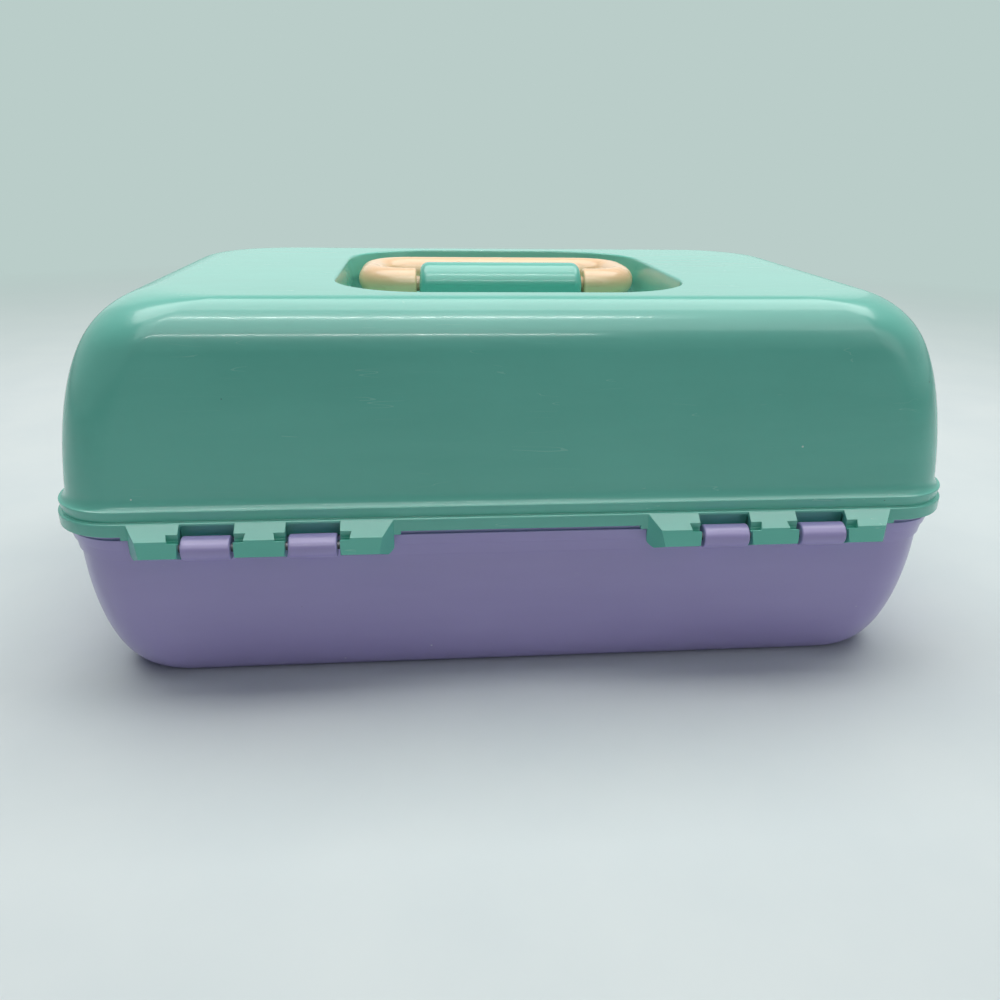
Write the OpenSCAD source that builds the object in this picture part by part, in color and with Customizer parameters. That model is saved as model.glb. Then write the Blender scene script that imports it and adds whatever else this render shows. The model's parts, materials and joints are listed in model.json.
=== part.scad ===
// Hinged cosmetics case: a deep base, a domed lid with a fold-down carrying handle, a mirror
// inside the lid and two stacked trays that swing up and back as the lid opens.
// Frame: origin at the middle of the base's underside, +Z up, latches towards -Y,
// hinge towards +Y. Left is -X and right is +X, as seen from the latch side.

/* [Case] */
// Overall length, over the lid's skirt
case_w = 330; // [320:1:380]
// Overall depth, over the lid's skirt
case_d = 190; // [186:1:230]
// Height of the lid's top face
case_h = 142.5; // [140:0.5:170]
// Height of the ledge where base and lid meet
seam_z = 61.9; // [61.3:0.1:62.5]
// Height of the base's belt, from its sloping sides up to the ledge
belt_h = 8.6; // [6.4:0.1:12.4]
// Thickness of the base and lid walls
wall = 2.6; // [2:0.1:3]
// Corner radius of the lid's skirt, seen from above
rim_r = 24; // [20:0.5:28]

/* [Lid shape] */
// How far the lid's ends draw in from the skirt to the top face
lid_draw_x = 40.8; // [25:0.1:44]
// How far the lid's front and back draw in from the skirt to the top face
lid_draw_y = 17; // [15:0.1:17.2]
// Depth of the rounded shoulders along the top face's front and back edges
shoulder_d = 12.5; // [9:0.1:13]
// Height of those shoulders
shoulder_h = 17; // [13:0.5:24]
// How full the lid's curved ends are, where 2 is an ellipse
lid_fullness = 2.6; // [2.2:0.1:3.4]
// Distance below the cove at which the lid's curved ends would stand upright
lid_spring = 18.8; // [16.5:0.1:22.5]
// Height of the skirt below its step
skirt_h = 4.9; // [4.7:0.1:5.7]
// Height of the narrow band above the step
band_h = 3.7; // [3:0.1:5]

/* [Base shape] */
// How far the base's sides draw in from their top to the underside
base_draw = 14; // [8:0.5:20]
// Gap between the lid's edge and the base's ledge
seam_gap = 2; // [1.7:0.1:2.3]

/* [Handle] */
// Thickness of the handle's round bar
grip_d = 13; // [10:0.5:14]
// Centre-line radius of the handle's corners
handle_corner_r = 15.5; // [10:0.5:18]
// Length of the handle's short straight bars beside its block
handle_straight = 3.8; // [1:0.1:6]
// Gap between the handle's long bar and the recess's front edge
handle_gap = 9.5; // [6:0.5:12]
// Length of the block that carries the handle
block_w = 70; // [60:1:76]
// Radius of the block's rounded top
block_r = 9; // [8:0.1:10]
// Depth of the handle's pivot below the lid's top face
pivot_drop = 8; // [7.5:0.1:9]
// Distance of the handle's pivot from the case's middle, towards the latches
pivot_y = 9; // [4:0.5:12]
// Diameter of the handle's pivot stubs
stub_d = 6.4; // [5:0.1:7]
// Gap between the handle and the recess's ends, at the top face
recess_side = 4.5; // [4:0.1:10]
// Distance of the recess's front and back edges from the lid's skirt, on average
recess_edge = 26.5; // [26:0.5:31]
// Corner radius of the handle recess
recess_r = 36; // [24:1:38]

/* [Hinge] */
// Diameter of each steel hinge pin
hinge_pin_d = 3; // [2:0.1:3.4]
// Distance of the hinge axis behind the lid's skirt
hinge_out = 3; // [3:0.1:3.6]
// Radius of the hinge knuckles
knuckle_r = 4.2; // [3.8:0.1:4.3]
// Distance of each hinge's outer end from the lid's end
hinge_side = 34.4; // [30:0.1:44]
// Width of the lid's knuckle at each hinge's inner end
inner_knuckle_w = 13.2; // [10:0.1:14]
// Width of the lid's middle knuckles
middle_knuckle_w = 17.2; // [12:0.1:18]
// Width of the lid's knuckle at each hinge's outer end
outer_knuckle_w = 12.7; // [10:0.1:14]
// Width of the base's knuckles
base_knuckle_w = 16.4; // [14:0.1:18]
// Gap between neighbouring knuckles
knuckle_gap = 1.1; // [0.8:0.1:1.4]

/* [Latches] */
// Distance of each latch's middle from the lid's end
latch_side = 77; // [60:1:105]
// Width of each latch
latch_w = 40; // [34:1:50]
// Diameter of each latch pin
latch_pin_d = 2.4; // [2:0.1:3]
// Height of the latch pivot above the seam
latch_up = 12.8; // [12:0.1:15]
// Distance of the latch pivot in front of the lid's skirt
latch_out = 3; // [2.8:0.1:4]
// Length of the latch below its pivot
latch_drop = 30; // [26:0.5:34]

/* [Trays] */
// Room at each end of the trays for the arms and links
tray_ends = 19; // [18.5:0.5:35]
// Distance of the trays' front faces behind the lid's skirt
tray_front_gap = 11; // [11:0.5:15]
// Distance of the lower tray's back in front of the rear arms' base pivots
lower_back = 20; // [14:0.5:22]
// Distance of the upper tray's back in front of the rear arms' base pivots
upper_back = 48; // [44:0.5:54]
// Height of the lower tray
lower_h = 24; // [20:0.5:24]
// Height of the upper tray
upper_h = 34; // [24:0.5:38]
// Thickness of the tray walls and dividers
tray_wall = 1.8; // [1.6:0.1:2.2]
// Gap between the two stacked trays
tray_gap = 1.5; // [1:0.1:2.5]
// Corner radius of the trays
tray_r = 10; // [6:0.5:10]

/* [Tray arms] */
// Distance of the rear arms' base pivots in front of the hinge axis
arm_in = 58; // [57:0.5:59]
// Distance between the front and rear arms
arm_pitch = 40; // [36:0.5:42]
// Distance of the arms' base pivots below the seam
arm_down = 30.5; // [29.5:0.1:31]
// Distance from the base pivot to the upper tray's pivot
arm_l = 72; // [70:0.5:73]
// Angle of the arms above level with the lid closed
arm_rest = 24; // [23:0.5:26]
// Width of the arms
arm_w = 10; // [8:0.5:11]
// Thickness of the arms
arm_t = 2.2; // [1.6:0.1:2.4]
// Diameter of the tray and arm pins
pin_d = 3; // [2.4:0.1:3.2]
// Distance along the rear arms between the lower tray's pins and the lift links' pins
link_pin_gap = 6; // [5.8:0.1:7]
// Width of the lift links
link_w = 6.2; // [6:0.1:6.6]
// Distance of the lift links' lid pins in front of the hinge axis
link_lid_in = 19.5; // [19:0.1:21]
// Height of the lift links' lid pins above the seam
link_lid_up = 7; // [6.9:0.1:7.5]
// Free travel of the lid pins in the lift links' slots
link_travel = 8.6; // [8.5:0.1:10]

/* [Mirror] */
// Distance of the mirror frame's ends inside the lid's skirt
mirror_ends = 50; // [48:1:75]
// Depth of the mirror frame
mirror_d = 144; // [120:1:148]
// Thickness of the mirror
glass_t = 2; // [1.5:0.1:3]
// Width of the mirror frame's border
mirror_border = 8; // [8:0.5:12]

/* [Clearances] */
// Radial clearance of a pin in its bore
fit = 0.05; // [0.02:0.01:0.1]
// Radial clearance of the pivots that close a linkage
open_fit = 0.15; // [0.12:0.01:0.3]
// Gap beside a swinging piece
slack = 0.4; // [0.3:0.05:0.6]

/* [Hidden] */

lid_color = [0.62, 0.90, 0.83];
base_color = [0.62, 0.58, 0.78];
peach_color = [0.96, 0.82, 0.66];
steel_color = [0.75, 0.76, 0.78];
mirror_color = [0.85, 0.88, 0.90];

$fn = 48;
corner_steps = 8;
curve_steps = 11;
bite = 0.6;                       // how far a boss is sunk into what carries it

rim_a = case_w / 2;
rim_b = case_d / 2;

// Lid levels from the seam upwards, and insets from the rim
lid_z = seam_z + seam_gap;
step_z = lid_z + skirt_h;
band_z = step_z + band_h;
cove_h = 6;
cove_z = band_z + cove_h;
lid_spring_z = cove_z - lid_spring;
skirt_t = 2.8;
band_in = 0.7;
side_in_x = 3.5;
side_in_y = 2;
shoulder_in = 4.6;
chamfer = 0.4;

// The base's tongue, on which the lid's shoulder rests
tongue_z = lid_z + 3.1;
tongue_in = skirt_t + 0.3;
base_in = 4;
ledge_in = 2;
wall_top = seam_z - belt_h;
belt_z = seam_z - belt_h / 2 + 0.2;

// Handle recess, and the tub that it makes inside the lid
pivot_z = case_h - pivot_drop;
recess_floor = pivot_z - grip_d / 2 - 0.2;
recess_y = 1.5;
recess_b = rim_b - recess_edge;
recess_fillet = 5;
recess_draft = 1.6;
tub_under = recess_floor - wall;
stub_gap = 1.2;
stub_l = 13;
handle_w = block_w + 2 * (stub_gap + handle_straight + handle_corner_r) + grip_d;
handle_reach = recess_b - recess_y - handle_gap - grip_d / 2 - pivot_y;
recess_a = handle_w / 2 + recess_side;
block_round = 3.5;
block_draft = 0.6;
handle_screw_x = 10;

// Hinge, with the places of the knuckles along it
hinge_y = rim_b + hinge_out;
hinge_z = seam_z - 1.1;
hinge_w = inner_knuckle_w + middle_knuckle_w + outer_knuckle_w
    + 2 * base_knuckle_w + 4 * knuckle_gap;
hinge_in = rim_a - hinge_side - hinge_w;
base_knuckles = [hinge_in + inner_knuckle_w + knuckle_gap,
                 hinge_in + inner_knuckle_w + middle_knuckle_w + base_knuckle_w + 3 * knuckle_gap];
middle_x = base_knuckles[0] + base_knuckle_w + knuckle_gap;
outer_x = base_knuckles[1] + base_knuckle_w + knuckle_gap;
hinge_end = outer_x + outer_knuckle_w;
hinge_flare = 5;
hinge_tab_over = 7.5;              // how far the skirt's deeper edge runs past each hinge
hinge_tab_drop = 1.3;
nose_up = 4.1;                     // the knuckles' square nose, above and below the hinge axis
nose_down = 2.3;
pin_stop = 1.6;

// Trays
tray_a = rim_a - tray_ends;
tray_front = rim_b - tray_front_gap;
arm_y = hinge_y - arm_in;
arm_z = seam_z - arm_down;
lower_d = tray_front + arm_y - lower_back;
upper_d = tray_front + arm_y - upper_back;
lower_pin = [arm_y - arm_l / 2 * cos(arm_rest), arm_z + arm_l / 2 * sin(arm_rest)];
upper_pin = [arm_y - arm_l * cos(arm_rest), arm_z + arm_l * sin(arm_rest)];
upper_z = upper_pin[1] - 5.8;
lower_z = upper_z - tray_gap - lower_h;
boss_r = 4.5;
boss_l = 2;
arm_x = tray_a + boss_l + 0.2;
pin_head_r = 2.8;
pin_head_t = 0.9;
side_play = 0.2;
divider_t = 1.4;
divider_x = tray_a / 2 - 1;
groove = 0.7;
upper_cells_front = 5;
upper_cells_back = 3;
upper_row = 28;                   // depth of the upper tray's front row
lower_row = 46;                   // depth of the lower tray's front row

// Lift links
link_x = arm_x + arm_t + 1.6;
link_t = 2;
link_arm_r = arm_l / 2 - link_pin_gap;
link_arm_pin = [arm_y - link_arm_r * cos(arm_rest - 1), arm_z + link_arm_r * sin(arm_rest - 1)];
link_lid_pin = [hinge_y - link_lid_in, seam_z + link_lid_up];
link_l = norm(link_lid_pin - link_arm_pin);
link_angle = atan2(link_lid_pin[1] - link_arm_pin[1], link_lid_pin[0] - link_arm_pin[0]);

// Mirror
mirror_w = case_w - 2 * mirror_ends;
mirror_back = tub_under - 2.6;
mirror_frame_t = 5.6;
mirror_r = 12;
mirror_screw = [mirror_w / 2 - 5.5, mirror_d / 2 - 5.5];
screw_r = 1.2;

// Latches
latch_x = rim_a - latch_side;
latch_y = -rim_b - latch_out;
latch_z = seam_z + latch_up;
latch_r = 3;
latch_t = 3.4;
ear_t = 3.2;
ear_r = 3.4;
catch_top = seam_z - 1.2;
catch_out = -rim_b - 0.8;
hook_out = catch_out - 0.12;
catch_w = latch_w - 12;

// ---- outlines ----

// Points of a rounded rectangle about (0, y), anticlockwise from +X
function round_rect(a, b, r, y = 0, steps = corner_steps) =
    [for (q = [0:3]) for (i = [0:steps])
        let (t = 90 * (q + i / steps), sx = (q == 0 || q == 3) ? 1 : -1, sy = q < 2 ? 1 : -1)
        [sx * (a - r) + r * cos(t), y + sy * (b - r) + r * sin(t)]];

// Points of an arc about (y, z) from angle a0 to a1
function arc(y, z, r, a0, a1, steps = 8) =
    [for (i = [0:steps]) let (t = a0 + (a1 - a0) * i / steps) [y + r * cos(t), z + r * sin(t)]];

// Points of a bar with round ends, from p along an angle
function bar(p, angle, length, r) =
    concat(arc(p[0], p[1], r, angle + 90, angle + 270),
           arc(p[0] + length * cos(angle), p[1] + length * sin(angle), r, angle - 90, angle + 90));

function reversed(list) = [for (i = [len(list) - 1:-1:0]) list[i]];

// A closed skin through stations [z, half length, half depth, corner radius, centre y]
module loft(stations) {
    n = 4 * (corner_steps + 1);
    points = [for (s = stations) for (p = round_rect(s[1], s[2], s[3], s[4])) [p[0], p[1], s[0]]];
    sides = [for (i = [0:len(stations) - 2]) for (j = [0:n - 1])
        let (k = (j + 1) % n)
        [i * n + j, (i + 1) * n + j, (i + 1) * n + k, i * n + k]];
    first = [for (j = [0:n - 1]) j];
    last = [for (j = [n - 1:-1:0]) (len(stations) - 1) * n + j];
    polyhedron(points = points, faces = concat([first], sides, [last]), convexity = 10);
}

// A (y, z) outline drawn out along X
module along_x(x0, x1) {
    translate([x0, 0, 0]) rotate([90, 0, 90]) linear_extrude(x1 - x0) children();
}

// An (x, z) outline drawn out along Y
module along_y(y0, y1) {
    translate([0, y1, 0]) rotate([90, 0, 0]) linear_extrude(y1 - y0) children();
}

// A round bar along X
module rod(x0, x1, y, z, r) {
    translate([x0, y, z]) rotate([0, 90, 0]) cylinder(r = r, h = x1 - x0);
}

// Whatever follows, on the right and mirrored on the left
module both_sides() {
    children();
    mirror([1, 0, 0]) children();
}

// ---- lid ----

function rim_station(z, inset, r = rim_r) = [z, rim_a - inset, rim_b - inset, r - inset, 0];

// How far the lid's front and back have drawn in at height z: a sloping wall and a round shoulder
function draw_y(z, top) =
    let (h = max(0, 1 - (top - z) / shoulder_h))
    (lid_draw_y - shoulder_d) * (z - cove_z) / (top - cove_z) + shoulder_d * (1 - sqrt(1 - h * h));

// Stations up the lid's sides from height z0; t is a thickness taken off inside
function lid_sides(t, z0) =
    let (rise = case_h - t - lid_spring_z,
         u0 = asin(pow((z0 - lid_spring_z) / rise, lid_fullness / 2)))
    [for (i = [0:curve_steps])
        let (u = u0 + (90 - u0) * i / curve_steps,
             up = pow(sin(u), 2 / lid_fullness),
             in = i == curve_steps ? 1 : 1 - pow(cos(u), 2 / lid_fullness),
             z = lid_spring_z + rise * up)
        [z,
         rim_a - side_in_x - t - lid_draw_x * in,
         rim_b - side_in_y - t - draw_y(z, case_h - t),
         rim_r - 5.4 + 8.9 * up - t, 0]];

// Stations of the concave flare from the band up to the curved sides
function lid_cove() =
    let (top = lid_sides(0, cove_z)[0], foot = rim_station(band_z + chamfer, band_in + chamfer))
    [for (u = [0:22.5:67.5])
        let (w = sin(u))
        [foot[0] + (cove_z - foot[0]) * (1 - cos(u)),
         foot[1] + (top[1] - foot[1]) * w, foot[2] + (top[2] - foot[2]) * w,
         foot[3] + (top[3] - foot[3]) * w, 0]];

// Stations of the handle recess from its floor up; t is the tub's thickness outside it
function recess_sides(t) =
    [for (u = [0:22.5:90])
        let (in = recess_draft + recess_fillet * (1 - sin(u)) - t)
        [recess_floor - t + recess_fillet * (1 - cos(u)),
         recess_a - in, recess_b - in, recess_r - in, recess_y]];

function recess_rim(z, t) = [z, recess_a + t, recess_b + t, recess_r + t, recess_y];

module lid_skin() {
    loft(concat(
        recess_sides(wall),
        [recess_rim(case_h - wall, wall)],
        reversed(lid_sides(wall, cove_z)),
        [rim_station(band_z, shoulder_in), rim_station(tongue_z, shoulder_in),
         rim_station(tongue_z, skirt_t), rim_station(lid_z, skirt_t),
         rim_station(lid_z, chamfer), rim_station(lid_z + chamfer, 0),
         rim_station(step_z - chamfer / 2, 0), rim_station(step_z, chamfer / 2),
         rim_station(step_z, band_in), rim_station(band_z, band_in)],
        lid_cove(),
        lid_sides(0, cove_z),
        [recess_rim(case_h, chamfer), recess_rim(case_h - chamfer, 0)],
        reversed(recess_sides(0))));
}

// Relief beside a base knuckle, cut into the shelf of a lid knuckle, with a pit behind its
// front edge; side is 1 towards +X
module knuckle_relief(x, side) {
    translate([x, hinge_y + 0.2, hinge_z]) scale([side, 1, 1]) {
        translate([0, 0, nose_up - 0.7]) linear_extrude(knuckle_r + 2)
            polygon([[-1, 0], [3.9, 0], [2.6, knuckle_r + 1], [-1, knuckle_r + 1]]);
        translate([0, 0, hinge_pin_d / 2 + 0.6]) linear_extrude(knuckle_r)
            polygon([[-1, 0], [3.9, 0], [3.1, 3.2], [-1, 3.2]]);
    }
}

// One lid knuckle: a sloping shelf over a square nose, with ends flared towards the skirt
module lid_knuckle(x, w, flare_in, flare_out) {
    nose_y = hinge_y + knuckle_r;
    root_y = rim_b - 1;
    intersection() {
        along_x(x - flare_in, x + w + flare_out) polygon(concat(
            [[root_y, step_z - 0.3], [rim_b, step_z - 0.3], [nose_y, hinge_z + nose_up],
             [nose_y, hinge_z - nose_down]],
            arc(hinge_y, hinge_z, knuckle_r, 360 - asin(nose_down / knuckle_r), 182)));
        translate([0, 0, hinge_z - 2 * knuckle_r]) linear_extrude(5 * knuckle_r)
            polygon([[x - flare_in, root_y - 1], [x + w + flare_out, root_y - 1],
                     [x + w + flare_out, rim_b], [x + w, nose_y], [x, nose_y], [x - flare_in, rim_b]]);
    }
}

module lid_hinge_leaf() {
    difference() {
        union() {
            lid_knuckle(hinge_in, inner_knuckle_w, hinge_flare, 0);
            lid_knuckle(middle_x, middle_knuckle_w, 0, 0);
            lid_knuckle(outer_x, outer_knuckle_w, 0, hinge_flare);
        }
        for (x = base_knuckles) {
            knuckle_relief(x - knuckle_gap, -1);
            knuckle_relief(x + base_knuckle_w + knuckle_gap, 1);
        }
    }
}

// The skirt's edge reaches lower along each hinge
module hinge_tab() {
    translate([hinge_in - hinge_tab_over, rim_b - skirt_t, lid_z - hinge_tab_drop])
        cube([hinge_w + 2 * hinge_tab_over, skirt_t, hinge_tab_drop + 1]);
}

// Pockets in the skirt behind the base's knuckles
module hinge_pockets() {
    foot_z = lid_z - hinge_tab_drop - 1;
    for (x = base_knuckles)
        translate([x - knuckle_gap, rim_b - 1.8, foot_z])
            cube([base_knuckle_w + 2 * knuckle_gap, 2.8, step_z - 1 - foot_z]);
}

module hinge_bore() {
    rod(hinge_in + pin_stop, hinge_end - pin_stop, hinge_y, hinge_z, hinge_pin_d / 2 + fit);
}

// Ears on the lid's front that carry one latch
module latch_ears() {
    for (x = [latch_x - latch_w / 2 - slack - ear_t, latch_x + latch_w / 2 + slack])
        along_x(x, x + ear_t) polygon(concat(
            [[-rim_b + 3.2, latch_z - ear_r], [-rim_b + 3.2, latch_z + 6]],
            arc(latch_y, latch_z, ear_r, 110, 270)));
}

module latch_bore() {
    reach = latch_w / 2 + slack + ear_t;
    rod(latch_x - reach - 1, latch_x + reach + 1, latch_y, latch_z, latch_pin_d / 2 + fit);
}

// Posts inside the lid for the mirror frame's screws
module mirror_posts() {
    for (y = [-1, 1]) translate([mirror_screw[0], y * mirror_screw[1], mirror_back])
        cylinder(r = 4, h = case_h - wall + bite - mirror_back);
}

module mirror_post_holes() {
    for (y = [-1, 1]) translate([mirror_screw[0], y * mirror_screw[1], mirror_back - 1])
        cylinder(r = screw_r, h = 9);
}

module link_post() {
    rod(link_x + link_t + 0.3, rim_a - shoulder_in + 0.2, link_lid_pin[0], link_lid_pin[1], 3.6);
}

module link_post_hole() {
    rod(link_x, link_x + link_t + 4, link_lid_pin[0], link_lid_pin[1], pin_d / 2 + fit);
}

module lid_shell() {
    color(lid_color) difference() {
        union() {
            lid_skin();
            both_sides() {
                hinge_tab();
                lid_hinge_leaf();
                latch_ears();
                mirror_posts();
                link_post();
            }
        }
        both_sides() {
            hinge_pockets();
            hinge_bore();
            latch_bore();
            mirror_post_holes();
            link_post_hole();
            translate([handle_screw_x, -pivot_y, tub_under - 1]) cylinder(r = 1.6, h = wall + 2);
        }
    }
}

// ---- base ----

// Stations of the base's curved sides, from the underside up; t is a thickness taken off inside
function base_sides(t) =
    [for (u = [90:-9:0])
        let (in = base_in + base_draw * (1 - cos(u)) + t)
        [t + (wall_top - t) * (1 - sin(u)), rim_a - in, rim_b - in, rim_r + 0.5 - t, 0]];

module base_skin() {
    function belt(z, in) = [z, rim_a - in, rim_b - in, rim_r, 0];
    loft(concat(
        base_sides(0),
        [belt(wall_top + 0.1, base_in - 0.5), belt(belt_z, base_in - 0.9),
         belt(belt_z + 0.1, base_in - 1.3), belt(seam_z - chamfer, ledge_in),
         belt(seam_z, ledge_in + chamfer), rim_station(seam_z, tongue_in),
         rim_station(tongue_z - chamfer, tongue_in), rim_station(tongue_z, tongue_in + chamfer),
         [tongue_z, rim_a - base_in - wall, rim_b - base_in - wall, rim_r + 0.5 - wall, 0]],
        reversed(base_sides(wall))));
}

module base_knuckle(x) {
    root_y = rim_b - base_in;
    along_x(x, x + base_knuckle_w) polygon(concat(
        arc(hinge_y, hinge_z, knuckle_r, -90, 180, 24),
        [[root_y, hinge_z - 0.7], [root_y, hinge_z - knuckle_r]]));
}

// The catch under which one latch hooks
module latch_catch() {
    root_y = -rim_b + base_in + 0.5;
    along_x(latch_x - catch_w / 2, latch_x + catch_w / 2)
        polygon([[root_y, catch_top], [catch_out + 0.8, catch_top], [catch_out, catch_top - 0.8],
                 [catch_out, catch_top - 2.2], [catch_out + 0.8, catch_top - 3],
                 [root_y, catch_top - 3.4]]);
}

module arm_post(y) {
    rod(arm_x + arm_t + side_play, rim_a - base_in - wall, y, arm_z, 5);
}

module arm_post_hole(y) {
    rod(arm_x + arm_t, arm_x + arm_t + 5.5, y, arm_z, pin_d / 2 + fit);
}

// Room in the tongue, at a rear corner, for a lift link and the post of its lid pin
module tongue_notch() {
    translate([link_x - 1, link_lid_pin[0] - 6.5, lid_z + 0.3])
        cube([rim_a - link_x, 30, tongue_z - lid_z]);
}

module base_shell() {
    color(base_color) difference() {
        union() {
            base_skin();
            both_sides() {
                for (x = base_knuckles) base_knuckle(x);
                latch_catch();
                for (y = [arm_y, arm_y - arm_pitch]) arm_post(y);
            }
        }
        both_sides() {
            hinge_bore();
            tongue_notch();
            for (y = [arm_y, arm_y - arm_pitch]) arm_post_hole(y);
        }
    }
}

// ---- hinge pins ----

module hinge_pin() {
    color(steel_color)
        rod(hinge_in + pin_stop + 0.3, hinge_end - pin_stop - 0.3, hinge_y, hinge_z, hinge_pin_d / 2);
}

module hinge_pin_right() {
    hinge_pin();
}

module hinge_pin_left() {
    mirror([1, 0, 0]) hinge_pin();
}

// ---- handle ----

// One right-angled bend of the handle's bar, turned about Z
module grip_bend(x, y, turn) {
    translate([x, y, pivot_z]) rotate([0, 0, turn]) rotate_extrude(angle = 90)
        translate([handle_corner_r, 0]) circle(d = grip_d);
}

module handle() {
    bend_x = handle_w / 2 - grip_d / 2 - handle_corner_r;
    near_y = -pivot_y - handle_corner_r;
    far_y = -pivot_y - handle_reach + handle_corner_r;
    side_x = handle_w / 2 - grip_d / 2;
    stub_x = block_w / 2 + stub_gap;
    color(peach_color) {
        rod(-bend_x, bend_x, -pivot_y - handle_reach, pivot_z, grip_d / 2);
        both_sides() {
            grip_bend(bend_x, near_y, 0);
            grip_bend(bend_x, far_y, -90);
            translate([side_x, near_y, pivot_z]) rotate([90, 0, 0])
                cylinder(d = grip_d, h = near_y - far_y);
            rod(stub_x, bend_x, -pivot_y, pivot_z, grip_d / 2);
            rod(block_w / 2 - stub_l, stub_x, -pivot_y, pivot_z, stub_d / 2);
        }
    }
}

module handle_block() {
    half = block_w / 2;
    top_z = pivot_z + block_r;
    color(lid_color) difference() {
        intersection() {
            along_x(-half - 1, half + 1) polygon(concat(
                arc(-pivot_y, pivot_z, block_r, 0, 180, 24),
                [[-pivot_y - block_r, recess_floor], [-pivot_y + block_r, recess_floor]]));
            along_y(-pivot_y - block_r - 1, -pivot_y + block_r + 1) polygon(concat(
                [[-half, recess_floor], [half, recess_floor]],
                arc(half - block_draft - block_round, top_z - block_round, block_round, 0, 90),
                arc(-half + block_draft + block_round, top_z - block_round, block_round, 90, 180)));
        }
        both_sides() {
            rod(half - stub_l - 0.4, half + 1, -pivot_y, pivot_z, stub_d / 2 + fit);
            translate([handle_screw_x, -pivot_y, recess_floor - 1]) cylinder(r = screw_r, h = 9);
        }
    }
}

// A round-headed screw pointing up from z
module screw(x, y, z, head_r, head_t, length) {
    translate([x, y, z]) {
        cylinder(r = head_r, h = head_t);
        translate([0, 0, head_t]) cylinder(r = screw_r - fit, h = length);
    }
}

module handle_screws() {
    head_t = 1.8;
    color(steel_color) both_sides()
        screw(handle_screw_x, -pivot_y, tub_under - head_t, 3, head_t, wall + 7);
}

// ---- latches ----

module latch() {
    inner_y = latch_y + 1;
    outer_y = inner_y - latch_t;
    foot_z = latch_z - latch_drop;
    hook_z = catch_top - 3.9;
    color(peach_color) difference() {
        union() {
            intersection() {
                along_x(latch_x - latch_w / 2, latch_x + latch_w / 2) polygon([
                    [inner_y, latch_z - 1], [inner_y, hook_z + 0.8], [hook_out, hook_z],
                    [hook_out, hook_z - 1.4], [inner_y, hook_z - 2.8], [inner_y - 0.5, foot_z + 1.2],
                    [inner_y - 1.5, foot_z], [outer_y - 0.2, foot_z], [outer_y - 1, foot_z + 1.2],
                    [outer_y - 0.7, foot_z + 8], [outer_y - 0.4, latch_z - 8],
                    [latch_y - latch_r + 0.1, latch_z - 1]]);
                along_y(outer_y - 3, hook_out + 1) translate([latch_x, latch_z - latch_drop / 2 + 4])
                    polygon(round_rect(latch_w / 2, latch_drop / 2 + 4, 6));
            }
            rod(latch_x - latch_w / 2, latch_x + latch_w / 2, latch_y, latch_z, latch_r);
        }
        latch_bore();
    }
}

module latch_pin() {
    reach = latch_w / 2 + slack + ear_t - 0.3;
    color(steel_color) rod(latch_x - reach, latch_x + reach, latch_y, latch_z, latch_pin_d / 2);
}

module latch_right() {
    latch();
}

module latch_left() {
    mirror([1, 0, 0]) latch();
}

module latch_pin_right() {
    latch_pin();
}

module latch_pin_left() {
    mirror([1, 0, 0]) latch_pin();
}

// ---- mirror ----

module rounded_slab(a, b, r, z0, z1) {
    translate([0, 0, z0]) linear_extrude(z1 - z0) polygon(round_rect(a, b, r));
}

module mirror_frame() {
    z0 = mirror_back - mirror_frame_t;
    color(lid_color) difference() {
        rounded_slab(mirror_w / 2, mirror_d / 2, mirror_r, z0, mirror_back);
        rounded_slab(mirror_w / 2 - mirror_border, mirror_d / 2 - mirror_border,
                     mirror_r - 5, z0 - 1, z0 + 0.8 + glass_t);
        for (x = [-1, 1]) for (y = [-1, 1])
            translate([x * mirror_screw[0], y * mirror_screw[1], z0 - 1]) {
                cylinder(r = screw_r + 0.15, h = mirror_frame_t + 2);
                cylinder(r = 2.8, h = 2.6);
            }
    }
}

module mirror_glass() {
    z0 = mirror_back - mirror_frame_t + 0.8;
    color(mirror_color)
        rounded_slab(mirror_w / 2 - mirror_border - 0.2, mirror_d / 2 - mirror_border - 0.2,
                     mirror_r - 5.2, z0, z0 + glass_t);
}

module mirror_screws() {
    head_t = 1.3;
    z0 = mirror_back - mirror_frame_t + 1.6 - head_t;
    color(steel_color) both_sides() for (y = [-1, 1])
        screw(mirror_screw[0], y * mirror_screw[1], z0, 2.5, head_t, mirror_frame_t + 3);
}

// ---- trays ----

// A tray from y0 back over a depth, with compartments [x0, x1, y0, y1], and a pair of pivots
// at each end
module tray(z, h, depth, pin, cells) {
    y0 = -tray_front;
    difference() {
        union() {
            translate([0, 0, z]) linear_extrude(h)
                polygon(round_rect(tray_a, depth / 2, tray_r, y0 + depth / 2, 4));
            both_sides() for (y = [pin[0], pin[0] - arm_pitch])
                rod(tray_a - bite, tray_a + boss_l, y, pin[1], boss_r);
        }
        for (c = cells)
            translate([(c[0] + c[1]) / 2, (c[2] + c[3]) / 2, z + tray_wall]) linear_extrude(h)
                polygon(round_rect((c[1] - c[0]) / 2, (c[3] - c[2]) / 2, c[4], 0, 4));
        both_sides() for (y = [pin[0], pin[0] - arm_pitch])
            rod(tray_a - tray_wall + 0.5, tray_a + boss_l + 1, y, pin[1], pin_d / 2 + fit);
    }
}

// Compartments in a row of n between two depths
function cell_row(n, ya, yb) =
    let (x0 = -tray_a + tray_wall, w = (2 * tray_a - tray_wall * (n + 1)) / n)
    [for (i = [0:n - 1])
        let (x = x0 + i * (w + tray_wall))
        [x, x + w, ya, yb, tray_r - 2.5]];

module upper_tray() {
    ya = -tray_front + tray_wall;
    yb = -tray_front + upper_d - tray_wall;
    color(lid_color) tray(upper_z, upper_h, upper_d, upper_pin, concat(
        cell_row(upper_cells_front, ya, ya + upper_row),
        cell_row(upper_cells_back, ya + upper_row + tray_wall, yb)));
}

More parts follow.
